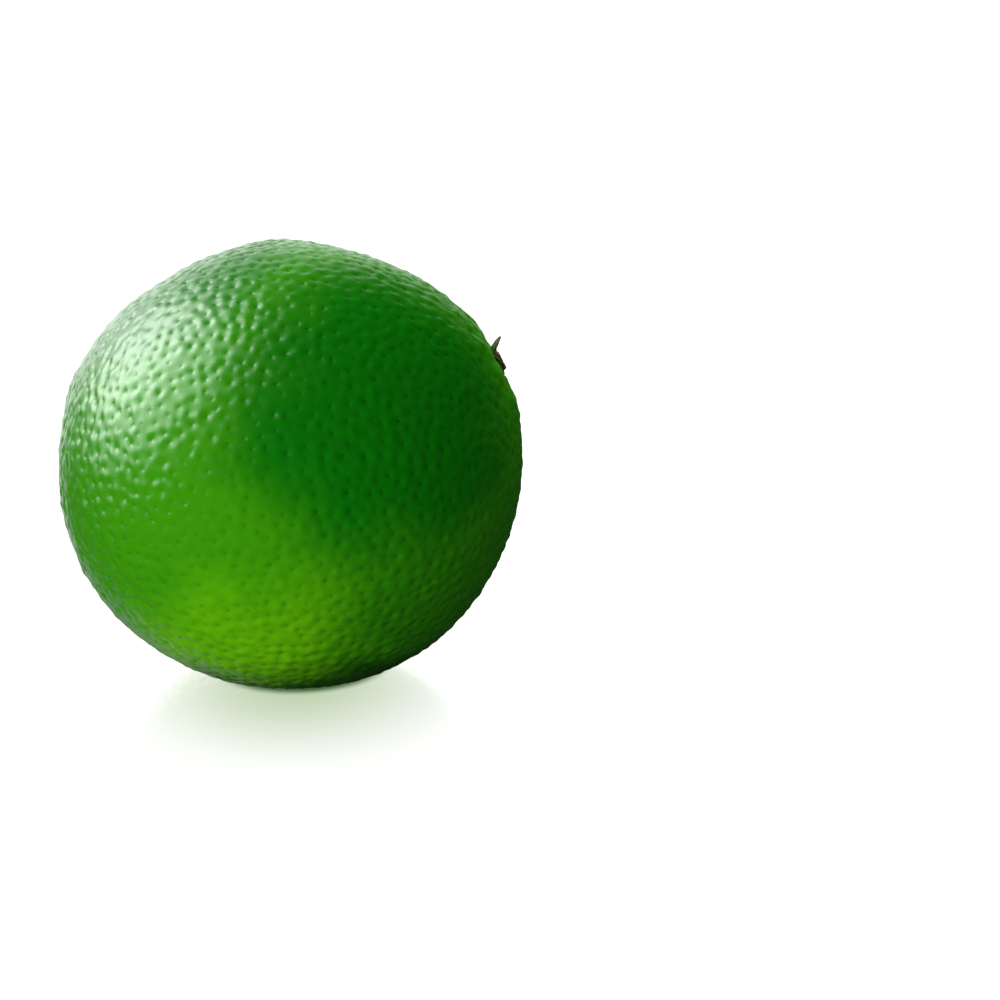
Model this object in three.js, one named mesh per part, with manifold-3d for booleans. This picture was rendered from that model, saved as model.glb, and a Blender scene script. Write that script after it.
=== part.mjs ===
// A whole lime lying on its side, with the dry calyx where it was picked.
//
// Millimetres, +Z up. The origin is in the middle of the small flat spot that the fruit rests on. The
// core of the fruit lies in the XZ plane: its stem end points to +X and up, its blossom end to -X.

import * as THREE from 'three';
import { mergeVertices } from 'three/addons/utils/BufferGeometryUtils.js';
import Module from 'manifold-3d';

const wasm = await Module();
wasm.setup();

const { degToRad, smoothstep } = THREE.MathUtils;

// Driving dimensions of the fruit

const EQUATOR_RADIUS = 26;
const STEM_HALF_LENGTH = 27.3;
const BLOSSOM_HALF_LENGTH = 26.8;
const CORE_ELEVATION = degToRad(25.4);
const REST_DEPTH = 0.39;

// The stem end: a shallow dimple inside a low round shoulder, with faint furrows running off it
const DIMPLE = { depth: 0.8, floorRadius: 1.4, rimRadius: 4.3 };
const SHOULDER = { height: 0.2, radius: 5.4, width: 2.2 };
const FURROWS = { count: 11, depth: 0.16, from: 3.4, to: 10.5 };

// The blossom end: a low round nipple inside a very shallow ring
const NIPPLE = { height: 0.45, width: 2 };
const NIPPLE_RING = { depth: 0.16, radius: 4.2, width: 1.5 };

// Broad swells of the cheeks. Each one points to a heading, turned about +Z from +X, and an elevation
const SWELLS = [
  { heading: 163, elevation: 30, height: 0.5, spread: 22 },
  { heading: 35, elevation: 60, height: -0.65, spread: 24 },
  { heading: -152, elevation: -52, height: -0.4, spread: 19 },
  { heading: -28, elevation: -47, height: 0.45, spread: 22 },
  { heading: -104, elevation: -64, height: -0.3, spread: 13 },
  { heading: 92, elevation: 69, height: 0.35, spread: 11 },
  { heading: 168, elevation: 21, height: 0.3, spread: 7 },
  { heading: 148, elevation: 51, height: -0.25, spread: 8 },
  { heading: 60, elevation: 5, height: 0.3, spread: 25 },
  { heading: 112, elevation: -10, height: -0.35, spread: 22 },
];

// Driving dimensions of the calyx, the dry button of sepals around the stem scar
const CALYX = {
  lobes: 5,
  lobeRadius: 2.65,
  notchRadius: 2.05,
  plateThickness: 0.5,
  lift: 1.05,
  scarRadius: 1.15,
  scarHeight: 0.75,
  clearance: 0.32,
};

// The calyx's outline, as pairs of a radius and a height. On the sepals they are shares of the lobe
// radius and of the plate's thickness, and on the scar they are shares of its radius and the full height.
const SEPAL_UNDERSIDE = [[0.5, 0], [0.75, 0], [0.93, 0.16]];
const SEPAL_TOP = [[1, 0.45], [0.93, 0.9], [0.75, 1]];
const SCAR_SIDE = [[1.35, 0.44], [1.05, 0.6], [1, 0.9]];
const SCAR_TOP = [[0.85, 1], [0.4, 0.93], [0, 0.9]];

// Fineness of the meshes
const FRUIT_SEGMENTS = 64;
const FRUIT_RINGS = 52;
const RING_CROWDING = 0.62;
const CALYX_SEGMENTS = 50;

// The height of the fruit's centre over its lowest point, before the flat spot is pressed in, and how
// far that lowest point lies towards -X. Both follow from the half axes of a tilted ellipsoid.
const AXES_DIFFERENCE = BLOSSOM_HALF_LENGTH ** 2 - EQUATOR_RADIUS ** 2;
const SUPPORT_HEIGHT = Math.sqrt(EQUATOR_RADIUS ** 2 + AXES_DIFFERENCE * Math.sin(CORE_ELEVATION) ** 2);
const SUPPORT_SHIFT = AXES_DIFFERENCE * Math.sin(CORE_ELEVATION) * Math.cos(CORE_ELEVATION) / SUPPORT_HEIGHT;

const fruitCentre = new THREE.Vector3(SUPPORT_SHIFT, 0, SUPPORT_HEIGHT - REST_DEPTH);

// A turn that takes +Y, the axis of every lathed shape, to the core's direction
const stemDirection = new THREE.Vector3(Math.cos(CORE_ELEVATION), 0, Math.sin(CORE_ELEVATION));
const coreTurn = new THREE.Quaternion().setFromUnitVectors(new THREE.Vector3(0, 1, 0), stemDirection);

const skin = new THREE.MeshStandardMaterial({ color: 0x2f8a12, roughness: 0.35, metalness: 0 });
const dryCalyx = new THREE.MeshStandardMaterial({ color: 0x5a6a2a, roughness: 0.8, metalness: 0 });

// Gives a bell-shaped bump of height 1 at the place where offset is 0.
function bell(offset, width) {
  return Math.exp(-((offset / width) ** 2));
}

// Gives a unit vector with a heading and an elevation in degrees.
function pointing(heading, elevation) {
  const flat = Math.cos(degToRad(elevation));
  const north = flat * Math.sin(degToRad(heading));
  return new THREE.Vector3(flat * Math.cos(degToRad(heading)), north, Math.sin(degToRad(elevation)));
}

// How far the stem end's dimple, shoulder and furrows move the rind, at an arc length from the stem.
function stemEndRelief(arc, aroundCore) {
  const dimple = -DIMPLE.depth * (1 - smoothstep(arc, DIMPLE.floorRadius, DIMPLE.rimRadius));
  const shoulder = SHOULDER.height * bell(arc - SHOULDER.radius, SHOULDER.width);
  const middle = (FURROWS.from + FURROWS.to) / 2;
  const reach = bell(arc - middle, (FURROWS.to - FURROWS.from) / 2);
  const furrow = -FURROWS.depth * reach * (0.5 + 0.5 * Math.cos(FURROWS.count * aroundCore));
  return dimple + shoulder + furrow;
}

// How far the blossom end's nipple and its ring move the rind, at an arc length from the tip.
function blossomEndRelief(arc) {
  const ring = -NIPPLE_RING.depth * bell(arc - NIPPLE_RING.radius, NIPPLE_RING.width);
  return NIPPLE.height * bell(arc, NIPPLE.width) + ring;
}

const swellPeaks = SWELLS.map(({ heading, elevation, height, spread }) => ({
  peak: pointing(heading, elevation),
  height,
  sharpness: 1 / (degToRad(spread) ** 2),
}));

// How far the broad swells move the rind in one direction from the fruit's centre.
function swellRelief(direction) {
  let relief = 0;
  for (const { peak, height, sharpness } of swellPeaks) {
    relief += height * Math.exp(2 * sharpness * (peak.dot(direction) - 1));
  }
  return relief;
}

// The rind's distance from the fruit's centre, by the angle from the stem and the angle around the core.
function rindRadius(fromStem, aroundCore) {
  const halfLength = fromStem < Math.PI / 2 ? STEM_HALF_LENGTH : BLOSSOM_HALF_LENGTH;
  const along = Math.cos(fromStem) / halfLength;
  const across = Math.sin(fromStem) / EQUATOR_RADIUS;
  const ellipsoid = 1 / Math.hypot(along, across);
  const stemArc = STEM_HALF_LENGTH * fromStem;
  const blossomArc = BLOSSOM_HALF_LENGTH * (Math.PI - fromStem);
  const direction = new THREE.Vector3().setFromSphericalCoords(1, fromStem, aroundCore);
  direction.applyQuaternion(coreTurn);
  const ends = stemEndRelief(stemArc, aroundCore) + blossomEndRelief(blossomArc);
  return ellipsoid + ends + swellRelief(direction);
}

// Gives the angle from the stem at a step along the outline, with the steps crowded at both ends.
function outlineAngle(step) {
  const part = step / FRUIT_RINGS;
  const crowding = RING_CROWDING * Math.sin(2 * Math.PI * part) / (2 * Math.PI);
  return Math.PI * (part - crowding);
}

// Moves every point of a lathed shape, given its angle from the axis and its angle around it.
function reshape(geometry, place) {
  const positions = geometry.getAttribute('position');
  const point = new THREE.Vector3();
  for (let i = 0; i < positions.count; i++) {
    point.fromBufferAttribute(positions, i);
    place(point);
    positions.setXYZ(i, point.x, point.y, point.z);
  }
  return geometry;
}

// Makes a solid for cutting from a closed geometry, leaving out the flat triangles at a lathe's poles.
function toSolid(geometry) {
  const bare = geometry.clone();
  bare.deleteAttribute('normal');
  bare.deleteAttribute('uv');
  const merged = mergeVertices(bare);
  const corners = merged.index.array;
  const triangles = [];
  for (let i = 0; i < corners.length; i += 3) {
    const [a, b, c] = corners.slice(i, i + 3);
    if (a !== b && b !== c && c !== a) triangles.push(a, b, c);
  }
  const vertProperties = merged.getAttribute('position').array;
  const triVerts = new Uint32Array(triangles);
  return new wasm.Manifold(new wasm.Mesh({ numProp: 3, vertProperties, triVerts }));
}

// Turns a cut solid back into a geometry.
function toGeometry(solid) {
  const { vertProperties, triVerts } = solid.getMesh();
  const geometry = new THREE.BufferGeometry();
  geometry.setAttribute('position', new THREE.BufferAttribute(vertProperties, 3));
  geometry.setIndex(new THREE.BufferAttribute(triVerts, 1));
  geometry.computeVertexNormals();
  return geometry;
}

// The whole fruit, lathed about its core, swelled, laid down and pressed flat where it rests.
function fruitGeometry() {
  const outline = [];
  for (let step = 0; step <= FRUIT_RINGS; step++) {
    const fromStem = outlineAngle(FRUIT_RINGS - step);
    const onAxis = step === 0 || step === FRUIT_RINGS;
    outline.push(new THREE.Vector2(onAxis ? 0 : Math.sin(fromStem), Math.cos(fromStem)));
  }
  const spherical = new THREE.Spherical();
  const round = reshape(new THREE.LatheGeometry(outline, FRUIT_SEGMENTS), (point) => {
    spherical.setFromVector3(point);
    point.normalize().multiplyScalar(rindRadius(spherical.phi, spherical.theta));
  });
  round.applyQuaternion(coreTurn).translate(fruitCentre.x, fruitCentre.y, fruitCentre.z);
  const floorSize = 4 * EQUATOR_RADIUS;
  const floor = new THREE.BoxGeometry(floorSize, floorSize, floorSize).translate(0, 0, -floorSize / 2);
  return toGeometry(toSolid(round).subtract(toSolid(floor)));
}

// The dry calyx: a plate of sepals whose tips curl off the rind, around the low scar of the stem. Its
// axis is +Y, and its underside starts at y = 0.
function calyxGeometry() {
  const { lobeRadius, plateThickness, scarRadius, scarHeight } = CALYX;
  const top = plateThickness + scarHeight;
  const scaled = (shares, width, height) => shares.map(([x, y]) => new THREE.Vector2(x * width, y * height));
  const outline = [
    new THREE.Vector2(0, 0),
    ...scaled([...SEPAL_UNDERSIDE, ...SEPAL_TOP], lobeRadius, plateThickness),
    ...scaled([...SCAR_SIDE, ...SCAR_TOP], scarRadius, top),
  ];
  return reshape(new THREE.LatheGeometry(outline, CALYX_SEGMENTS), (point) => {
    const radius = Math.hypot(point.x, point.z);
    const outwards = smoothstep(radius, scarRadius, lobeRadius);
    const lobe = 0.5 + 0.5 * Math.cos(CALYX.lobes * Math.atan2(point.x, point.z));
    const notch = (1 - lobe) * (1 - CALYX.notchRadius / lobeRadius) * outwards;
    point.x *= 1 - notch;
    point.z *= 1 - notch;
    point.y += CALYX.lift * outwards * lobe;
  });
}

const fruit = new THREE.Mesh(fruitGeometry(), skin);
fruit.name = 'fruit';

const stemButton = new THREE.Mesh(calyxGeometry(), dryCalyx);
stemButton.name = 'stem_button';
stemButton.position.y = STEM_HALF_LENGTH - DIMPLE.depth + CALYX.clearance;

// Holds what sits on the core axis, with +Y running from the fruit's centre out through the stem end
const core = new THREE.Group();
core.quaternion.copy(coreTurn);
core.position.copy(fruitCentre);
core.add(stemButton);

const lime = new THREE.Group();
lime.add(fruit, core);

export default lime;
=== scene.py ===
"""A whole lime lying on its side, with the dry calyx in the dimple where it was picked.

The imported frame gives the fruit's place and size. On it this script grows a fine rind with its oil glands,
and a calyx with its sepals and the corky scar of the stem, in a pale studio. Lengths are in millimetres,
and MM turns them into the scene's metres.
"""

from __future__ import annotations

import logging
import math
from dataclasses import dataclass
from enum import Enum
from itertools import product
from typing import Any, Mapping, Sequence

import bmesh
import bpy
import numpy as np
from mathutils import Matrix, Vector, noise
from mathutils.kdtree import KDTree


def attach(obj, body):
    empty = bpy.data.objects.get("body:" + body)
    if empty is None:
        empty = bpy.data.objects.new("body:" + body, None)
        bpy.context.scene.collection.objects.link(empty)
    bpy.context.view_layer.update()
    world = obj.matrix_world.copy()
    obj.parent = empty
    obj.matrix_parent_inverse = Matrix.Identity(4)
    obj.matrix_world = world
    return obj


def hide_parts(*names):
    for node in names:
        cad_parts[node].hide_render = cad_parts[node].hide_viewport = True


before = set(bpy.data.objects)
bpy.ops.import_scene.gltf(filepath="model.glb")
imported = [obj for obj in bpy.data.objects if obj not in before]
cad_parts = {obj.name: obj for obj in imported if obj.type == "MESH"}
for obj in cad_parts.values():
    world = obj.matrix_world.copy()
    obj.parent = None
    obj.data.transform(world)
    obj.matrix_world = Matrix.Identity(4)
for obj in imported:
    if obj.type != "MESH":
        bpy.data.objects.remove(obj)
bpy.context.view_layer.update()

MM = 0.001
BODY = "root"

log = logging.getLogger("lime")

Colour = tuple[float, float, float]
WHITE = (1.0, 1.0, 1.0, 1.0)
BLACK = (0.0, 0.0, 0.0, 1.0)


class Mask(Enum):
    """Numbers that a mesh keeps on each of its points, and that its finish reads."""

    GLAND_DISTANCE = "gland_distance"
    GLAND_STRENGTH = "gland_strength"
    GLAND_OFFSET = "gland_offset"
    STEM_END = "stem_end"
    TIP_SCAR = "tip_scar"
    WOOD = "wood"
    EDGE = "edge"


# ------------------------------------------------------------------------------------ shared maths


def smooth_step(values: np.ndarray, low: float, high: float) -> np.ndarray:
    """Ease from 0 to 1 as the values go from low to high.

    Args:
        values: The numbers to ease.
        low: Where the result leaves 0.
        high: Where the result reaches 1.

    Returns:
        The eased numbers, from 0 to 1.
    """
    share = np.clip((values - low) / (high - low), 0.0, 1.0)
    return share * share * (3.0 - 2.0 * share)


def bell(offsets: np.ndarray, width: float) -> np.ndarray:
    """Give a bell-shaped bump that is 1 where the offset is 0 and small past its width.

    Args:
        offsets: Distances from the bump's middle.
        width: The distance at which the bump has fallen to about a third.

    Returns:
        The bump's height at each offset.
    """
    return np.exp(-((offsets / width) ** 2))


def ripples(points: np.ndarray, wavelength: float, seed: float) -> np.ndarray:
    """Give smooth random waves in space.

    Args:
        points: Places, one row each, in the same unit as the wavelength.
        wavelength: The rough distance between two crests.
        seed: A shift that picks another pattern.

    Returns:
        A number from about -1 to 1 for each place.
    """
    shift = Vector((seed, 2.0 * seed, 3.0 * seed))
    return np.array([noise.noise(Vector(row) / wavelength + shift) for row in points])


def pointing(heading: float, elevation: float) -> np.ndarray:
    """Give the unit vector with a heading, turned about +Z from +X, and an elevation.

    Args:
        heading: Degrees about +Z.
        elevation: Degrees above the horizontal.

    Returns:
        The unit vector.
    """
    turn = math.radians(heading)
    rise = math.radians(elevation)
    flat = math.cos(rise)
    return np.array((flat * math.cos(turn), flat * math.sin(turn), math.sin(rise)))


# ------------------------------------------------------------------------------------ shader nodes


class Field:
    """A number that varies over a surface: an output socket whose arithmetic adds Math nodes."""

    def __init__(self, shader: Shader, socket: bpy.types.NodeSocket) -> None:
        """Wrap an output socket that carries a number, in the shader that it belongs to."""
        self.shader = shader
        self.socket = socket

    def _math(self, operation: str, *values: Field | float) -> Field:
        """Add a Math node, with the values in its sockets in order, and give its result."""
        made = self.shader.node("ShaderNodeMath", {"operation": operation}, dict(enumerate(values)))
        return Field(self.shader, made.outputs[0])

    def __add__(self, other: Field | float) -> Field:
        """Add a number or another field."""
        return self._math("ADD", self, other)

    def __radd__(self, other: float) -> Field:
        """Add this field to a number."""
        return self._math("ADD", other, self)

    def __sub__(self, other: Field | float) -> Field:
        """Take away a number or another field."""
        return self._math("SUBTRACT", self, other)

    def __rsub__(self, other: float) -> Field:
        """Take this field from a number."""
        return self._math("SUBTRACT", other, self)

    def __mul__(self, other: Field | float) -> Field:
        """Multiply by a number or another field."""
        return self._math("MULTIPLY", self, other)

    def __rmul__(self, other: float) -> Field:
        """Multiply a number by this field."""
        return self._math("MULTIPLY", other, self)

    def at_least(self, other: Field | float) -> Field:
        """Give the larger of this field and another."""
        return self._math("MAXIMUM", self, other)

    def eased(self, low: float, high: float) -> Field:
        """Ease from 0 to 1 as this field goes from low to high.

        Args:
            low: Where the result leaves 0.
            high: Where the result reaches 1.

        Returns:
            The eased field.
        """
        settings = {"interpolation_type": "SMOOTHSTEP"}
        made = self.shader.node("ShaderNodeMapRange", settings, {0: self, 1: low, 2: high})
        return Field(self.shader, made.outputs[0])


class Shader:
    """The nodes of one material or of the surroundings, around the node that shades them."""

    def __init__(self, owner: bpy.types.Material | bpy.types.World, surface: str) -> None:
        """Start a node tree.

        Args:
            owner: The material or world that is shaded.
            surface: The name of the node that shades it.
        """
        owner.use_nodes = True
        self.owner = owner
        self.tree = owner.node_tree
        self.surface = self.tree.nodes[surface]

    @classmethod
    def of_material(cls, name: str) -> Shader:
        """Start a new material."""
        return cls(bpy.data.materials.new(name), "Principled BSDF")

    def node(
        self, kind: str, settings: Mapping[str, Any], sockets: Mapping[Any, Any]
    ) -> bpy.types.Node:
        """Add a node, set its settings, and then fill its sockets.

        Args:
            kind: The node's type.
            settings: Its properties by name.
            sockets: Values, sockets or fields, by socket name or number.

        Returns:
            The node.
        """
        made = self.tree.nodes.new(kind)
        for name, value in settings.items():
            setattr(made, name, value)
        for key, value in sockets.items():
            self.fill(made.inputs[key], value)
        return made

    def fill(self, socket: bpy.types.NodeSocket, value: Any) -> None:
        """Link a socket to a field or another socket, or set its value.

        Args:
            socket: The input socket.
            value: A field, an output socket, a number or a vector.
        """
        if isinstance(value, Field):
            value = value.socket
        if isinstance(value, bpy.types.NodeSocket):
            self.tree.links.new(value, socket)
        else:
            socket.default_value = value

    def place(self) -> bpy.types.NodeSocket:
        """Give the Object coordinates, in metres."""
        return self.node("ShaderNodeTexCoord", {}, {}).outputs["Object"]

    def mask(self, mask: Mask) -> Field:
        """Read one of the numbers that the mesh keeps on its points."""
        made = self.node("ShaderNodeAttribute", {"attribute_name": mask.value}, {})
        return Field(self, made.outputs["Fac"])

    def length(self, mask: Mask) -> Field:
        """Give the length of one of the vectors that the mesh keeps on its points."""
        made = self.node("ShaderNodeAttribute", {"attribute_name": mask.value}, {})
        return self.vector_value("LENGTH", made.outputs["Vector"])

    def vector_value(self, operation: str, *values: Any) -> Field:
        """Work out a number from vectors.

        Args:
            operation: The Vector Math node's operation.
            values: What goes into its sockets, in order.

        Returns:
            The number.
        """
        sockets = dict(enumerate(values))
        made = self.node("ShaderNodeVectorMath", {"operation": operation}, sockets)
        return Field(self, made.outputs["Value"])

    def vector(self, operation: str, *values: Any) -> bpy.types.NodeSocket:
        """Work out a vector from vectors.

        Args:
            operation: The Vector Math node's operation.
            values: What goes into its sockets, in order.

        Returns:
            The vector's socket.
        """
        sockets = dict(enumerate(values))
        made = self.node("ShaderNodeVectorMath", {"operation": operation}, sockets)
        return made.outputs["Vector"]

    def cloud(self, size: float, detail: float = 2.0, shift: float = 0.0) -> Field:
        """Give soft noise around 0.5.

        Args:
            size: The size of its patches, in millimetres.
            detail: How many finer layers it has.
            shift: A shift in metres that picks another pattern.

        Returns:
            The noise.
        """
        moved = self.vector("ADD", self.place(), (shift, shift, shift))
        sockets = {"Vector": moved, "Scale": 1.0 / (size * MM), "Detail": detail}
        return Field(self, self.node("ShaderNodeTexNoise", {}, sockets).outputs[0])

    def facing(self, middle: Vector, direction: Sequence[float]) -> Field:
        """Give the cosine between a unit vector and the way to a point from a middle, in metres."""
        away = self.vector("SUBTRACT", self.place(), tuple(middle))
        return self.vector_value("DOT_PRODUCT", self.vector("NORMALIZE", away), tuple(direction))

    def blend(self, share: Field | float, first: Any, second: Any) -> bpy.types.NodeSocket:
        """Mix two colours.

        Args:
            share: 0 for the first colour, 1 for the second.
            first: A colour or a colour socket.
            second: A colour or a colour socket.

        Returns:
            The mixed colour's socket.
        """
        settings = {"data_type": "RGBA", "clamp_factor": True}
        made = self.node("ShaderNodeMix", settings, {0: share, 6: full(first), 7: full(second)})
        return made.outputs[2]

    def tinted(self, share: Field | float, colour: Any, tint: Any) -> bpy.types.NodeSocket:
        """Multiply a colour by a tint.

        Args:
            share: How much of the tint is laid on, from 0 to 1.
            colour: A colour or a colour socket.
            tint: A colour or a colour socket.

        Returns:
            The tinted colour's socket.
        """
        settings = {"data_type": "RGBA", "blend_type": "MULTIPLY", "clamp_factor": True}
        made = self.node("ShaderNodeMix", settings, {0: share, 6: full(colour), 7: full(tint)})
        return made.outputs[2]

    def bump(self, height: Field, depth: float, strength: float) -> bpy.types.NodeSocket:
        """Raise and lower the surface's shading, by a height from 0 to 1 and a depth in millimetres."""
        sockets = {"Height": height, "Distance": depth * MM, "Strength": strength}
        return self.node("ShaderNodeBump", {}, sockets).outputs["Normal"]

    def finish(self, **sockets: Any) -> Any:
        """Fill the node that shades the surface.

        Args:
            sockets: Values or links by socket name, with _ for each space.

        Returns:
            The finished material or world.
        """
        for name, value in sockets.items():
            self.fill(self.surface.inputs[name.replace("_", " ")], value)
        return self.owner


def full(colour: Any) -> Any:
    """Give a plain colour its alpha, and leave a socket as it is.

    Args:
        colour: Three numbers or a socket.

    Returns:
        Four numbers, or the socket.
    """
    return (*colour, 1.0) if isinstance(colour, tuple) else colour


# ------------------------------------------------------------------------------------ the fruit's form


@dataclass(frozen=True)
class Swell:
    """A broad swell of a cheek: where it points in degrees, its height, and its spread in degrees."""

    heading: float
    elevation: float
    height: float
    spread: float

    def relief(self, directions: np.ndarray) -> np.ndarray:
        """Tell how far the swell moves the rind in each direction, given as rows of unit vectors."""
        closeness = directions @ pointing(self.heading, self.elevation) - 1.0
        return self.height * np.exp(2.0 * closeness / math.radians(self.spread) ** 2)


@dataclass(frozen=True)
class Stipple:
    """Small round pits or domes, scattered over a ball so that no two are too close."""

    spacing: float
    radius: float
    height: float
    seed: int
    tries: int = 50000
    size_spread: float = 0.15
    strength_spread: float = 0.35
    neighbours: int = 3

    def scatter(self, ball_radius: float) -> tuple[np.ndarray, np.ndarray]:
        """Throw dots at the ball, and keep each that has room.

        Args:
            ball_radius: The ball's radius.

        Returns:
            The dots' places, and their strengths around 1.
        """
        chance = np.random.default_rng(self.seed)
        places = chance.normal(size=(self.tries, 3))
        places *= ball_radius / np.linalg.norm(places, axis=1)[:, None]
        sizes = chance.uniform(1.0 - self.size_spread, 1.0 + self.size_spread, self.tries)
        kept: list[int] = []
        cells: dict[tuple[int, ...], list[int]] = {}
        for index, place in enumerate(places):
            home = tuple((place // (self.spacing * (1.0 + self.size_spread))).astype(int))
            if self._has_room(place, self.spacing * sizes[index], home, places, cells):
                kept.append(index)
                cells.setdefault(home, []).append(index)
        strengths = chance.uniform(1.0 - self.strength_spread, 1.0 + self.strength_spread, len(kept))
        return places[kept], strengths * sizes[kept]

    @staticmethod
    def _has_room(
        place: np.ndarray,
        gap: float,
        home: tuple[int, ...],
        places: np.ndarray,
        cells: Mapping[tuple[int, ...], list[int]],
    ) -> bool:
        """Tell whether a dot has room.

        Args:
            place: Where it would lie.
            gap: The least distance to any other dot.
            home: The cell that it lies in.
            places: All the tried places.
            cells: The kept dots' numbers by cell.

        Returns:
            True if nothing lies closer than the gap.
        """
        for step in product((-1, 0, 1), repeat=3):
            cell = (home[0] + step[0], home[1] + step[1], home[2] + step[2])
            if any(math.dist(place, places[other]) < gap for other in cells.get(cell, ())):
                return False
        return True

    def press(self, ball: np.ndarray) -> tuple[np.ndarray, np.ndarray, np.ndarray]:
        """Work out how the dots mark each point of the ball.

        Args:
            ball: Points on the ball, one row each.

        Returns:
            How far each point is raised, its offset from the nearest dot, and that dot's strength.
        """
        dots, strengths = self.scatter(float(np.linalg.norm(ball[0])))
        tree = KDTree(len(dots))
        for index, dot in enumerate(dots):
            tree.insert(Vector(dot), index)
        tree.balance()
        raised = np.zeros(len(ball))
        nearest = np.zeros(len(ball), int)
        for row, place in enumerate(ball):
            found = tree.find_n(Vector(place), self.neighbours)
            nearest[row] = found[0][1]
            for _, index, distance in found:
                raised[row] += strengths[index] * math.exp(-((distance / self.radius) ** 2))
        return self.height * raised, ball - dots[nearest], strengths[nearest]


@dataclass(frozen=True)
class FruitForm:
    """The fruit's form: a ball stretched along its core, with a dimple, a nipple and uneven cheeks."""

    equator_radius: float = 26.0
    stem_half_length: float = 27.3
    blossom_half_length: float = 26.8
    core_elevation: float = 25.4
    rest_depth: float = 0.39
    dimple_depth: float = 0.8
    dimple_floor: float = 1.4
    dimple_rim: float = 4.3
    shoulder_height: float = 0.2
    shoulder_radius: float = 5.4
    shoulder_width: float = 2.2
    furrows: int = 11
    furrow_depth: float = 0.16
    furrow_start: float = 3.4
    furrow_end: float = 10.5
    nipple_height: float = 0.45
    nipple_width: float = 2.0
    nipple_ring_depth: float = 0.16
    nipple_ring_radius: float = 4.2
    nipple_ring_width: float = 1.5
    swells: tuple[Swell, ...] = (
        Swell(163, 30, 0.5, 22),
        Swell(35, 60, -0.65, 24),
        Swell(-152, -52, -0.4, 19),
        Swell(-28, -47, 0.45, 22),
        Swell(-104, -64, -0.3, 13),
        Swell(92, 69, 0.35, 11),
        Swell(168, 21, 0.3, 7),
        Swell(148, 51, -0.25, 8),
        Swell(60, 5, 0.3, 25),
        Swell(112, -10, -0.35, 22),
    )

    def core(self) -> np.ndarray:
        """Give the unit vector from the fruit's centre to its stem end."""
        return pointing(0.0, self.core_elevation)

    def centre(self) -> np.ndarray:
        """Find the fruit's centre over the flat spot that it rests on, as half axes and tilt set it.

        Returns:
            The centre.
        """
        tilt = math.radians(self.core_elevation)
        difference = self.blossom_half_length**2 - self.equator_radius**2
        height = math.sqrt(self.equator_radius**2 + difference * math.sin(tilt) ** 2)
        shift = difference * math.sin(tilt) * math.cos(tilt) / height
        return np.array((shift, 0.0, height - self.rest_depth))

    def core_frame(self) -> np.ndarray:
        """Give three unit vectors as rows: one out of the fruit's top side, one to -Y, and the core."""
        top = pointing(180.0, 90.0 - self.core_elevation)
        return np.array((top, (0.0, -1.0, 0.0), self.core()))

    def angles(self, directions: np.ndarray) -> tuple[np.ndarray, np.ndarray]:
        """Tell where directions lie on the fruit.

        Args:
            directions: Unit vectors from the fruit's centre, one row each.

        Returns:
            The angles from the stem end, and the angles around the core from the fruit's top side.
        """
        local = directions @ self.core_frame().T
        from_stem = np.arccos(np.clip(local[:, 2], -1.0, 1.0))
        return from_stem, np.arctan2(local[:, 1], local[:, 0])

    def radii(self, directions: np.ndarray) -> np.ndarray:
        """Tell how far the smooth rind lies from the fruit's centre.

        Args:
            directions: Unit vectors from the fruit's centre, one row each.

        Returns:
            The distance in each direction.
        """
        from_stem, around = self.angles(directions)
        half_length = np.where(from_stem < math.pi / 2, self.stem_half_length, self.blossom_half_length)
        radii = 1.0 / np.hypot(np.cos(from_stem) / half_length, np.sin(from_stem) / self.equator_radius)
        radii += self._stem_end(self.stem_half_length * from_stem, around)
        radii += self._blossom_end(self.blossom_half_length * (math.pi - from_stem))
        for swell in self.swells:
            radii += swell.relief(directions)
        return radii

    def _stem_end(self, arc: np.ndarray, around: np.ndarray) -> np.ndarray:
        """Shape the dimple, its round shoulder and the furrows that run off it.

        Args:
            arc: Distances along the rind from the stem.
            around: Angles around the core.

        Returns:
            How far the rind moves.
        """
        dimple = self.dimple_depth * (smooth_step(arc, self.dimple_floor, self.dimple_rim) - 1.0)
        shoulder = self.shoulder_height * bell(arc - self.shoulder_radius, self.shoulder_width)
        middle = (self.furrow_start + self.furrow_end) / 2.0
        reach = bell(arc - middle, (self.furrow_end - self.furrow_start) / 2.0)
        furrow = self.furrow_depth * reach * (0.5 + 0.5 * np.cos(self.furrows * around))
        return dimple + shoulder - furrow

    def _blossom_end(self, arc: np.ndarray) -> np.ndarray:
        """Shape the nipple and its shallow ring, by distances along the rind from its tip."""
        ring = self.nipple_ring_depth * bell(arc - self.nipple_ring_radius, self.nipple_ring_width)
        return self.nipple_height * bell(arc, self.nipple_width) - ring


# ------------------------------------------------------------------------------------ finishes


@dataclass(frozen=True)
class Blush:
    """A broad patch of colour: where it points in degrees, and the cosines where it starts and is full."""

    heading: float
    elevation: float
    start: float
    full: float

    def share(self, shader: Shader, middle: Vector, mottle: Field) -> Field:
        """Tell how strongly the patch colours the surface, from 0 to 1, with mottle on its edge."""
        towards = shader.facing(middle, pointing(self.heading, self.elevation))
        return (towards + mottle).eased(self.start, self.full)


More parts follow.
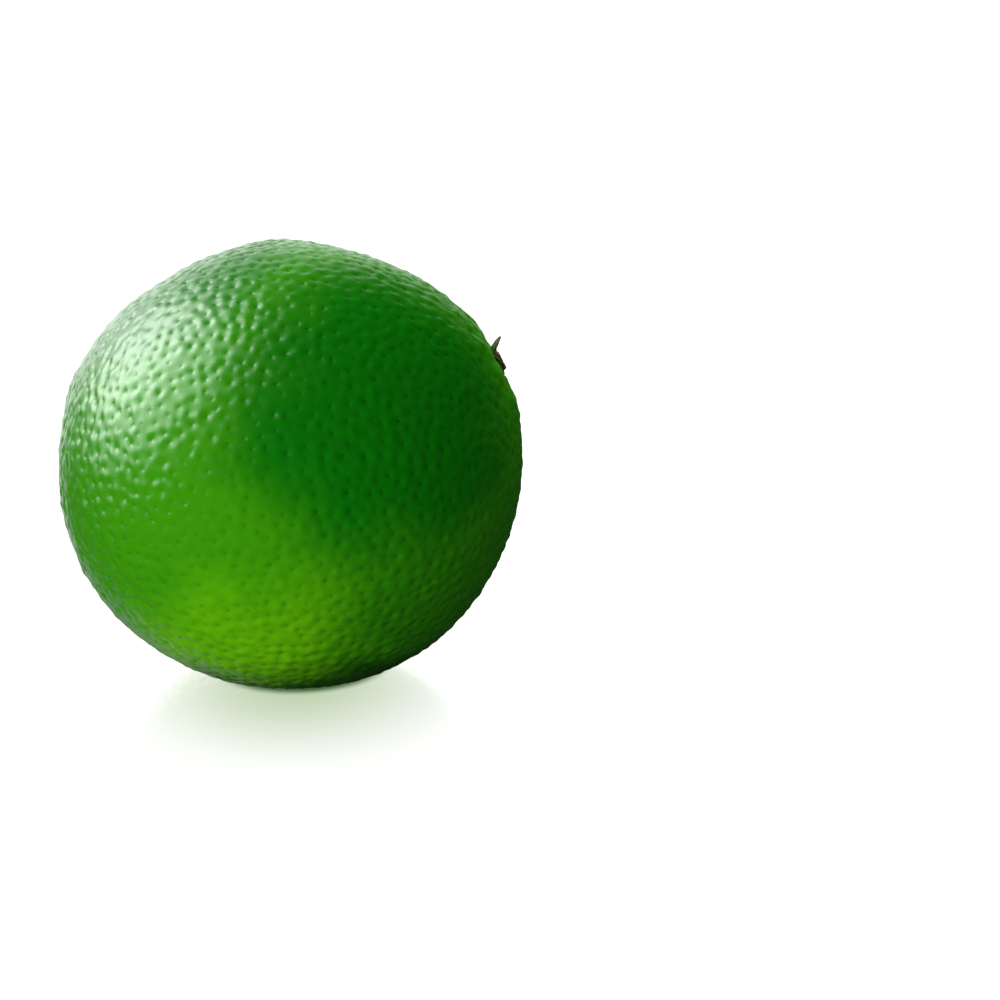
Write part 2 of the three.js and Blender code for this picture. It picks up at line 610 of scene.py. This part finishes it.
@dataclass(frozen=True)
class WaxyRindFinish:
    """The rind's finish: deep green, yellower low down, darker in its glands, under a thin wax, with painted
    contact shade on its underside and partly painted shade low on its right side.
    """

    deep_green: Colour = (0.003, 0.170, 0.002)
    leaf_green: Colour = (0.041, 0.295, 0.002)
    ripe_green: Colour = (0.135, 0.500, 0.002)
    stem_green: Colour = (0.090, 0.430, 0.012)
    stem_share: float = 0.7
    gland_tint: Colour = (0.64, 0.77, 0.68)
    gland_share: float = 0.7
    fleck_tint: Colour = (0.72, 0.84, 0.70)
    fleck_share: float = 0.35
    fleck_size: float = 1.6
    fleck_start: float = 0.35
    fleck_full: float = 0.75
    # The colour of the painted contact shade on the underside
    painted_contact_shade_tint: Colour = (0.08, 0.20, 0.12)
    scar_brown: Colour = (0.09, 0.065, 0.02)
    roughness: float = 0.27
    fleck_dullness: float = 0.16
    gland_dullness: float = 0.15
    wax_ior: float = 1.55
    pore_radius: float = 0.38
    pore_depth: float = 0.032
    pore_slack: float = 0.2
    grain_size: float = 0.22
    grain_share: float = 0.3
    ripe: Blush = Blush(-97.0, -43.0, 0.68, 1.06)
    # Deeper, less ripe green low on the right side: partly the rind's own colour, partly painted shade
    lean_and_shade: Blush = Blush(-38.0, -18.0, 0.58, 0.9)
    deep: Blush = Blush(-62.0, 32.0, 0.62, 0.94)
    shaded: Blush = Blush(175.0, 55.0, 0.74, 1.0)
    # Painted contact shade: the underside darkens towards where the fruit rests on the floor
    underside: Blush = Blush(-78.0, -75.0, 0.74, 0.98)
    shaded_depth: float = 0.85
    lean_and_shade_depth: float = 0.4
    mottling: float = 0.3
    mottle_size: float = 9.0

    def material(self, form: FruitForm) -> bpy.types.Material:
        """Make the rind's material.

        Args:
            form: The fruit's form, for its centre.

        Returns:
            The material.
        """
        shader = Shader.of_material("waxy_rind")
        flecks = shader.cloud(self.fleck_size, shift=0.3)
        gland = self._pore(shader)
        grain = shader.cloud(self.grain_size, shift=0.7)
        wax = self.roughness + self.fleck_dullness * (flecks - 0.5) + self.gland_dullness * gland
        return shader.finish(
            Base_Color=self._colour(shader, Vector(form.centre()) * MM, flecks, gland),
            Roughness=wax,
            IOR=self.wax_ior,
            Normal=shader.bump(grain * self.grain_share - gland, self.pore_depth, strength=1.0),
        )

    def _colour(self, shader: Shader, middle: Vector, flecks: Field, gland: Field) -> bpy.types.NodeSocket:
        """Lay the rind's colours over each other.

        Args:
            shader: The rind's shader.
            middle: The fruit's centre, in metres.
            flecks: Small soft noise.
            gland: The pores' strength.

        Returns:
            The colour's socket.
        """
        mottle = self.mottling * (shader.cloud(self.mottle_size, detail=3.0) - 0.5)
        deep = self.deep.share(shader, middle, mottle)
        shaded = self.shaded.share(shader, middle, mottle)
        ripe = self.ripe.share(shader, middle, mottle)
        # The lower right side's deeper green is partly painted shade
        lean_and_shade = self.lean_and_shade.share(shader, middle, mottle)
        underside = self.underside.share(shader, middle, mottle)
        depth = deep.at_least(self.shaded_depth * shaded).at_least(self.lean_and_shade_depth * lean_and_shade)
        colour = shader.blend(depth, self.leaf_green, self.deep_green)
        colour = shader.blend(ripe * (1.0 - lean_and_shade), colour, self.ripe_green)
        fleck = flecks.eased(self.fleck_start, self.fleck_full) * self.fleck_share
        colour = shader.tinted(fleck, colour, self.fleck_tint)
        # Painted contact shade, darkening the underside near the floor
        colour = shader.tinted(underside, colour, self.painted_contact_shade_tint)
        colour = shader.tinted(gland * self.gland_share, colour, self.gland_tint)
        colour = shader.blend(shader.mask(Mask.STEM_END) * self.stem_share, colour, self.stem_green)
        return shader.blend(shader.mask(Mask.TIP_SCAR), colour, self.scar_brown)

    def _pore(self, shader: Shader) -> Field:
        """Draw the pore in the middle of each oil gland.

        Args:
            shader: The rind's shader.

        Returns:
            The pore's strength: about 1 in its middle, and 0 outside it.
        """
        near = shader.mask(Mask.GLAND_DISTANCE) - self.pore_slack
        distance = shader.length(Mask.GLAND_OFFSET).at_least(near)
        return (1.0 - distance.eased(0.0, self.pore_radius)) * shader.mask(Mask.GLAND_STRENGTH)


@dataclass(frozen=True)
class DryCalyxFinish:
    """The calyx's finish: olive sepals that are brown at their edges, around a pale corky scar."""

    sepal_green: Colour = (0.035, 0.120, 0.016)
    sepal_brown: Colour = (0.100, 0.085, 0.025)
    cork: Colour = (0.30, 0.22, 0.11)
    dark_cork: Colour = (0.07, 0.045, 0.02)
    wrinkle_size: float = 0.5
    speck_size: float = 0.18
    speck_start: float = 0.35
    speck_full: float = 0.65
    dry_start: float = 0.55
    dry_full: float = 1.15
    dry_wander: float = 0.8
    roughness: float = 0.62
    speck_dullness: float = 0.3
    sepal_ior: float = 1.4
    wrinkle_share: float = 0.6
    wrinkle_depth: float = 0.08
    wrinkle_strength: float = 0.7

    def material(self) -> bpy.types.Material:
        """Make the calyx's material.

        Returns:
            The material.
        """
        shader = Shader.of_material("dry_calyx")
        wrinkles = shader.cloud(self.wrinkle_size, detail=4.0, shift=0.2)
        specks = shader.cloud(self.speck_size, detail=3.0, shift=0.5)
        edge = shader.mask(Mask.EDGE) + self.dry_wander * (wrinkles - 0.5)
        sepals = shader.blend(edge.eased(self.dry_start, self.dry_full), self.sepal_green, self.sepal_brown)
        cork = shader.blend(specks.eased(self.speck_start, self.speck_full), self.cork, self.dark_cork)
        relief = wrinkles * self.wrinkle_share + specks * (1.0 - self.wrinkle_share)
        return shader.finish(
            Base_Color=shader.blend(shader.mask(Mask.WOOD), sepals, cork),
            Roughness=self.roughness + self.speck_dullness * (specks - 0.5),
            IOR=self.sepal_ior,
            Normal=shader.bump(relief, self.wrinkle_depth, self.wrinkle_strength),
        )


@dataclass(frozen=True)
class StudioFloorFinish:
    """The floor's finish: a polished sheet that glows white, with a painted green-grey shadow and reflection
    around the fruit and a painted dark contact shadow where it rests.
    """

    grey: Colour = (0.1, 0.1, 0.1)
    # Painted shadow and green reflection of the fruit, on the floor around it
    painted_shadow_and_reflection: Colour = (0.50, 0.62, 0.41)
    far_glow: Colour = (1.0, 1.0, 1.0)
    glow_place: tuple[float, float, float] = (0.0, -4.6, 0.0)
    far_radius: float = 27.0
    # Painted dark contact shadow where the fruit rests, with its place, stretch and size
    painted_contact_shadow: Colour = (0.10, 0.20, 0.08)
    contact_place: tuple[float, float, float] = (1.5, 0.0, 0.0)
    contact_stretch: tuple[float, float, float] = (0.75, 1.0, 1.0)
    contact_start: float = 6.4
    contact_end: float = 8.2
    roughness: float = 0.12
    polish_ior: float = 3.0

    def material(self) -> bpy.types.Material:
        """Make the floor's material.

        Returns:
            The material.
        """
        shader = Shader.of_material("studio_floor")
        # The floor's glow is for the camera alone, so it is no lamp
        shader.owner.cycles.emission_sampling = "NONE"
        # Painted shadow and reflection, fading to white away from the fruit
        middle = tuple(step * MM for step in self.glow_place)
        away = shader.vector_value("LENGTH", shader.vector("SUBTRACT", shader.place(), middle))
        far = away.eased(0.0, self.far_radius * MM)
        glow = shader.blend(far, self.painted_shadow_and_reflection, self.far_glow)
        # Painted contact shadow, dark close to where the fruit rests
        contact = tuple(step * MM for step in self.contact_place)
        beside = shader.vector("SUBTRACT", shader.place(), contact)
        apart = shader.vector_value("LENGTH", shader.vector("MULTIPLY", beside, self.contact_stretch))
        clear = apart.eased(self.contact_start * MM, self.contact_end * MM)
        return shader.finish(
            Base_Color=full(self.grey),
            Roughness=self.roughness,
            IOR=self.polish_ior,
            Emission_Color=shader.tinted(1.0 - clear, glow, self.painted_contact_shadow),
            Emission_Strength=1.0,
        )


# ------------------------------------------------------------------------------------ pieces


def finished_piece(
    name: str, mesh: bpy.types.Mesh, material: bpy.types.Material, masks: Mapping[Mask, np.ndarray]
) -> bpy.types.Object:
    """Make a smooth object of a mesh and its masks.

    Args:
        name: The object's name.
        mesh: Its mesh, with its place in it.
        material: Its material.
        masks: The numbers that it keeps on its points.

    Returns:
        The object.
    """
    for mask, values in masks.items():
        kind, field = ("FLOAT", "value") if values.ndim == 1 else ("FLOAT_VECTOR", "vector")
        layer = mesh.attributes.new(mask.value, kind, "POINT")
        layer.data.foreach_set(field, values.astype(np.float32).ravel())
    mesh.materials.append(material)
    mesh.shade_smooth()
    piece = bpy.data.objects.new(name, mesh)
    bpy.context.scene.collection.objects.link(piece)
    return piece


def mesh_points(mesh: bpy.types.Mesh) -> np.ndarray:
    """Read a mesh's points.

    Args:
        mesh: The mesh.

    Returns:
        One row for each point.
    """
    points = np.zeros(3 * len(mesh.vertices), np.float32)
    mesh.vertices.foreach_get("co", points)
    return points.reshape(-1, 3).astype(float)


def move_points(mesh: bpy.types.Mesh, points: np.ndarray) -> None:
    """Move a mesh's points to places in millimetres.

    Args:
        mesh: The mesh.
        points: One row for each point.
    """
    mesh.vertices.foreach_set("co", (points * MM).astype(np.float32).ravel())
    mesh.update()


@dataclass
class Rind:
    """The whole fruit's outside, with an oil gland's pit every millimetre or so."""

    form: FruitForm
    finish: WaxyRindFinish
    cuts: int = 127
    glands: Stipple = Stipple(spacing=1.3, radius=0.46, height=-0.14, seed=7)
    domes: Stipple = Stipple(spacing=1.7, radius=0.56, height=0.12, seed=11)
    wave_height: float = 0.05
    wave_length: float = 5.0
    crease_radius: float = 0.1
    scar_radius: float = 0.75
    scar_depth: float = 0.16
    stem_tint_start: float = 2.4
    stem_tint_end: float = 7.0

    def build(self) -> bpy.types.Object:
        """Build and dress the rind.

        Returns:
            The rind, which stands for the frame's fruit.
        """
        mesh = self._ball()
        directions = mesh_points(mesh)
        directions /= np.linalg.norm(directions, axis=1)[:, None]
        ball = directions * self.form.equator_radius
        pits, gland_offsets, gland_strengths = self.glands.press(ball)
        domes, _, _ = self.domes.press(ball)
        from_stem, _ = self.form.angles(directions)
        stem_arc = self.form.stem_half_length * from_stem
        tip_arc = self.form.blossom_half_length * (math.pi - from_stem)
        scar = bell(tip_arc, self.scar_radius)
        radii = self.form.radii(directions)
        radii += self.wave_height * ripples(ball, self.wave_length, seed=1.0)
        radii += (pits + domes) * (1.0 - scar) - self.scar_depth * scar
        points = self.form.centre() + directions * radii[:, None]
        points[:, 2] = self._laid_down(points[:, 2])
        move_points(mesh, points)
        masks = {
            Mask.GLAND_OFFSET: gland_offsets,
            Mask.GLAND_DISTANCE: np.linalg.norm(gland_offsets, axis=1),
            Mask.GLAND_STRENGTH: gland_strengths,
            Mask.STEM_END: 1.0 - smooth_step(stem_arc, self.stem_tint_start, self.stem_tint_end),
            Mask.TIP_SCAR: scar,
        }
        rind = finished_piece("rind", mesh, self.finish.material(self.form), masks)
        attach(rind, BODY)
        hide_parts("fruit")
        return rind

    def _ball(self) -> bpy.types.Mesh:
        """Make an evenly meshed ball of radius 1 from a finely cut cube.

        Returns:
            The ball's mesh.
        """
        grid = bmesh.new()
        bmesh.ops.create_cube(grid, size=2.0)
        bmesh.ops.subdivide_edges(grid, edges=grid.edges[:], cuts=self.cuts, use_grid_fill=True)
        mesh = bpy.data.meshes.new("rind")
        grid.to_mesh(mesh)
        grid.free()
        points = np.tan(mesh_points(mesh) * math.pi / 4.0)
        points /= np.linalg.norm(points, axis=1)[:, None]
        mesh.vertices.foreach_set("co", points.astype(np.float32).ravel())
        return mesh

    def _laid_down(self, heights: np.ndarray) -> np.ndarray:
        """Press the underside flat where heights over the floor are below 0, with a soft crease."""
        return (heights + np.hypot(heights, self.crease_radius)) / 2.0


# The calyx's outline, as pairs of a radius and a height. The radii are shares of the sepals' tip radius, or
# of the scar's radius on the collar and the cork. The heights are in millimetres on the underside, shares of
# the plate's thickness on the sepals' top side and the collar, and shares of the full height on the cork.
UNDERSIDE_OUTLINE = ((0.0, 0.0), (0.45, 0.0), (0.94, 0.05))
SEPAL_OUTLINE = ((1.0, 0.5), (0.94, 0.8), (0.75, 1.0))
COLLAR_OUTLINE = ((1.3, 1.15),)
CORK_OUTLINE = ((1.08, 0.62), (1.0, 0.88), (0.88, 1.0), (0.68, 0.95), (0.4, 0.84), (0.0, 0.8))


@dataclass
class DryCalyx:
    """The dry button at the stem end: sepals that curl off the rind around the corky scar of the stem."""

    form: FruitForm
    finish: DryCalyxFinish
    steps: int = 200
    sepal_tip: float = 2.7
    sepal_notch: float = 1.75
    sepal_lifts: tuple[float, ...] = (1.9, 0.7, 0.35, 0.3, 0.8)
    sepal_roundness: float = 1.6
    sepal_curl: float = 1.5
    rib_height: float = 0.09
    rib_width: float = 0.12
    rib_place: float = 0.72
    rib_reach: float = 0.25
    plate_thickness: float = 0.42
    scar_radius: float = 1.15
    scar_height: float = 0.75
    wood_start: float = 0.95
    wood_end: float = 1.2
    dry_edge: float = 0.6
    wrinkle_height: float = 0.06
    wrinkle_length: float = 0.55
    fine_wrinkle_height: float = 0.03
    fine_wrinkle_length: float = 0.25
    wrinkle_bottom: float = 0.05
    wrinkle_top: float = 0.3
    sunk: float = 0.05
    outline_cuts: int = 4
    outline_smoothing: float = 0.6

    def build(self) -> bpy.types.Object:
        """Build and dress the calyx.

        Returns:
            The calyx, which stands for the frame's stem_button.
        """
        mesh = self._turned()
        local = mesh_points(mesh)
        radius = np.hypot(local[:, 0], local[:, 1])
        around = np.arctan2(local[:, 1], local[:, 0])
        share = np.clip(radius / self.sepal_tip, 0.0, 1.0)
        outwards = smooth_step(radius, self.scar_radius, self.sepal_tip)
        lobe, lift = self._sepals(around)
        reach = 1.0 - outwards * (1.0 - lobe) * (1.0 - self.sepal_notch / self.sepal_tip)
        local[:, :2] *= reach[:, None]
        local[:, 2] += lift * outwards**self.sepal_curl * lobe
        local[:, 2] += self._relief(local, lobe, share)
        local[:, 2] += self.form.stem_half_length - self.form.dimple_depth - self.sunk
        move_points(mesh, self.form.centre() + local @ self.form.core_frame())
        wood = 1.0 - smooth_step(radius / self.scar_radius, self.wood_start, self.wood_end)
        masks = {Mask.WOOD: wood, Mask.EDGE: smooth_step(share, self.dry_edge, 1.0)}
        calyx = finished_piece("dry_calyx", mesh, self.finish.material(), masks)
        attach(calyx, BODY)
        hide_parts("stem_button")
        return calyx

    def _relief(self, local: np.ndarray, lobe: np.ndarray, share: np.ndarray) -> np.ndarray:
        """Raise a rib along each sepal, and wrinkle the top side.

        Args:
            local: The points on the calyx's own axis.
            lobe: How near each point's angle is to its sepal's middle, from 0 to 1.
            share: Each point's distance from the axis, as a share of the tips'.

        Returns:
            How far each point rises.
        """
        along = bell(share - self.rib_place, self.rib_reach)
        rib = self.rib_height * bell(1.0 - lobe, self.rib_width) * along
        coarse = ripples(local, self.wrinkle_length, seed=2.0)
        fine = ripples(local, self.fine_wrinkle_length, seed=5.0)
        top_side = smooth_step(local[:, 2], self.wrinkle_bottom, self.wrinkle_top)
        return top_side * (rib + self.wrinkle_height * coarse + self.fine_wrinkle_height * fine)

    def _sepals(self, around: np.ndarray) -> tuple[np.ndarray, np.ndarray]:
        """Tell which sepal each point belongs to.

        Args:
            around: Angles around the core.

        Returns:
            How near each point's angle is to its sepal's middle, from 0 to 1, and that sepal's lift.
        """
        count = len(self.sepal_lifts)
        turn = around * count / (2.0 * math.pi)
        nearest = np.round(turn)
        lobe = 1.0 - np.abs(2.0 * (turn - nearest)) ** self.sepal_roundness
        return lobe, np.array(self.sepal_lifts)[nearest.astype(int) % count]

    def _outline(self) -> list[tuple[float, float]]:
        """Give the half section, from the middle of the underside round the rim to the top's middle.

        Returns:
            Pairs of radius and height.
        """
        stretches = (
            (UNDERSIDE_OUTLINE, self.sepal_tip, 1.0),
            (SEPAL_OUTLINE, self.sepal_tip, self.plate_thickness),
            (COLLAR_OUTLINE, self.scar_radius, self.plate_thickness),
            (CORK_OUTLINE, self.scar_radius, self.plate_thickness + self.scar_height),
        )
        return [(across * wide, up * tall) for points, wide, tall in stretches for across, up in points]

    def _turned(self) -> bpy.types.Mesh:
        """Turn the half section about its axis.

        Returns:
            The closed mesh, on its own axis, in millimetres.
        """
        disc = bmesh.new()
        corners = [disc.verts.new((radius, 0.0, height)) for radius, height in self._outline()]
        for first, second in zip(corners, corners[1:]):
            disc.edges.new((first, second))
        bmesh.ops.subdivide_edges(
            disc, edges=disc.edges[:], cuts=self.outline_cuts, smooth=self.outline_smoothing
        )
        bmesh.ops.spin(
            disc,
            geom=disc.verts[:] + disc.edges[:],
            cent=(0.0, 0.0, 0.0),
            axis=(0.0, 0.0, 1.0),
            angle=2.0 * math.pi,
            steps=self.steps,
            use_merge=True,
        )
        bmesh.ops.remove_doubles(disc, verts=disc.verts[:], dist=1e-4)
        bmesh.ops.recalc_face_normals(disc, faces=disc.faces[:])
        mesh = bpy.data.meshes.new("dry_calyx")
        disc.to_mesh(mesh)
        disc.free()
        return mesh


# ------------------------------------------------------------------------------------ the studio


@dataclass(frozen=True)
class Softbox:
    """A soft studio lamp that gives the fruit its shading, by the direction it stands in."""

    name: str
    heading: float
    elevation: float
    distance: float
    width: float
    height: float
    watts: float
    colour: Colour = (1.0, 0.96, 0.92)

    def build(self, target: Vector) -> bpy.types.Object:
        """Hang the lamp and turn it to the fruit.

        Args:
            target: The point that it faces, in metres.

        Returns:
            The lamp.
        """
        lamp = bpy.data.lights.new(self.name, "AREA")
        lamp.shape = "RECTANGLE"
        lamp.size = self.width * MM
        lamp.size_y = self.height * MM
        lamp.energy = self.watts
        lamp.color = self.colour
        # Otherwise a lamp that the shine is not to show still leaves a grey film in it
        lamp.cycles.use_multiple_importance_sampling = False
        holder = bpy.data.objects.new(self.name, lamp)
        away = Vector(pointing(self.heading, self.elevation))
        holder.location = target + away * self.distance * MM
        holder.rotation_euler = away.to_track_quat("Z", "Y").to_euler()
        holder.visible_glossy = False
        bpy.context.scene.collection.objects.link(holder)
        return holder


@dataclass(frozen=True)
class Glow:
    """A soft bright patch that only the shine shows: its direction, how far it reaches, and its strength."""

    heading: float
    elevation: float
    reach: float
    core: float
    strength: float

    def light(self, shader: Shader, way: bpy.types.NodeSocket) -> Field:
        """Tell how bright the patch is.

        Args:
            shader: The shader of the surroundings.
            way: The direction that is looked in.

        Returns:
            The patch's light.
        """
        towards = shader.vector_value("DOT_PRODUCT", way, tuple(pointing(self.heading, self.elevation)))
        edge = math.cos(math.radians(self.reach))
        return towards.eased(edge, math.cos(math.radians(self.core))) * self.strength


@dataclass
class Studio:
    """A white floor, pale surroundings, soft lamps and the camera."""

    form: FruitForm
    floor_finish: StudioFloorFinish
    floor_size: float = 6000.0
    camera_azimuth: float = -8.4
    camera_elevation: float = 21.7
    camera_distance: float = 323.5
    lens: float = 100.0
    sensor: float = 36.0
    image_size: float = 1000.0
    fruit_pixel: tuple[float, float] = (290.5, 466.0)
    lamps: tuple[Softbox, ...] = (
        Softbox("top_light", 82.0, 48.0, 900.0, 900.0, 700.0, 12.0),
        Softbox("side_light", -133.0, 15.0, 900.0, 900.0, 700.0, 10.1),
        Softbox("far_light", 10.0, 8.0, 900.0, 900.0, 700.0, 3.0),
        Softbox("bounce_card", -106.0, -17.0, 72.0, 100.0, 20.0, 0.006),
    )
    glows: tuple[Glow, ...] = (
        Glow(144.0, 28.0, 27.0, 5.0, 5.2),
        Glow(160.0, 34.0, 42.0, 12.0, 4.4),
        Glow(113.0, 10.0, 22.0, 6.0, 0.85),
        Glow(99.0, 12.0, 42.0, 14.0, 0.8),
        Glow(98.0, -11.0, 26.0, 8.0, 0.9),
        Glow(116.0, -42.0, 20.0, 4.0, 0.35),
    )
    dim: float = 0.01
    dome_radius: float = 2900.0
    dome_detail: int = 5

    def build(self) -> None:
        """Build the floor, the surroundings, the lamps and the camera."""
        centre = Vector(self.form.centre()) * MM
        self._floor()
        self._dome()
        self._surroundings()
        for lamp in self.lamps:
            lamp.build(centre)
        self._camera(centre)
        bpy.context.scene.view_settings.view_transform = "Standard"

    def _floor(self) -> None:
        """Lay the floor under the fruit."""
        sheet = bmesh.new()
        bmesh.ops.create_grid(sheet, x_segments=1, y_segments=1, size=self.floor_size * MM / 2.0)
        mesh = bpy.data.meshes.new("studio_floor")
        sheet.to_mesh(mesh)
        sheet.free()
        floor = finished_piece("studio_floor", mesh, self.floor_finish.material(), {})
        floor.visible_glossy = False
        floor.visible_diffuse = False
        floor.visible_shadow = False

    def _dome(self) -> None:
        """Close the studio with a white dome, which only the camera sees."""
        shell = bmesh.new()
        radius = self.dome_radius * MM
        bmesh.ops.create_icosphere(shell, subdivisions=self.dome_detail, radius=radius)
        bmesh.ops.reverse_faces(shell, faces=shell.faces[:])
        mesh = bpy.data.meshes.new("studio_dome")
        shell.to_mesh(mesh)
        shell.free()
        shader = Shader.of_material("studio_dome")
        white = shader.finish(Base_Color=BLACK, Emission_Color=WHITE, Emission_Strength=1.0)
        white.cycles.emission_sampling = "NONE"
        dome = finished_piece("studio_dome", mesh, white, {})
        dome.visible_diffuse = False
        dome.visible_glossy = False
        dome.visible_shadow = False

    def _surroundings(self) -> None:
        """Set the bright patches around the fruit, which only its shine shows."""
        world = bpy.data.worlds.new("pale_studio")
        world.cycles_visibility.diffuse = False
        shader = Shader(world, "Background")
        way = shader.node("ShaderNodeTexCoord", {}, {}).outputs["Generated"]
        strength = sum((glow.light(shader, way) for glow in self.glows), self.dim)
        bpy.context.scene.world = shader.finish(Color=WHITE, Strength=strength)

    def _camera(self, centre: Vector) -> None:
        """Place the camera so that the fruit's centre falls on its pixel.

        Args:
            centre: The fruit's centre, in metres.
        """
        turn = math.radians(self.camera_azimuth)
        rise = math.radians(self.camera_elevation)
        back = Vector((math.sin(turn) * math.cos(rise), -math.cos(turn) * math.cos(rise), math.sin(rise)))
        right = Vector((math.cos(turn), math.sin(turn), 0.0))
        up = back.cross(right)
        per_pixel = self.camera_distance * MM * self.sensor / self.lens / self.image_size
        across = (self.fruit_pixel[0] - self.image_size / 2.0) * per_pixel
        down = (self.fruit_pixel[1] - self.image_size / 2.0) * per_pixel
        camera = bpy.data.cameras.new("camera")
        camera.lens = self.lens
        camera.sensor_width = self.sensor
        holder = bpy.data.objects.new("camera", camera)
        holder.matrix_world = Matrix((right, up, back)).transposed().to_4x4()
        holder.location = centre + back * self.camera_distance * MM - right * across + up * down
        bpy.context.scene.collection.objects.link(holder)
        bpy.context.scene.camera = holder


def main() -> None:
    """Build the studio and the fruit's pieces, and report each piece."""
    logging.basicConfig(level=logging.INFO, format="%(name)s: %(message)s")
    form = FruitForm()
    Studio(form, StudioFloorFinish()).build()
    for part in (Rind(form, WaxyRindFinish()), DryCalyx(form, DryCalyxFinish())):
        piece = part.build()
        log.info("%s: %d points, %d faces", piece.name, len(piece.data.vertices), len(piece.data.polygons))


if __name__ == "__main__":
    main()
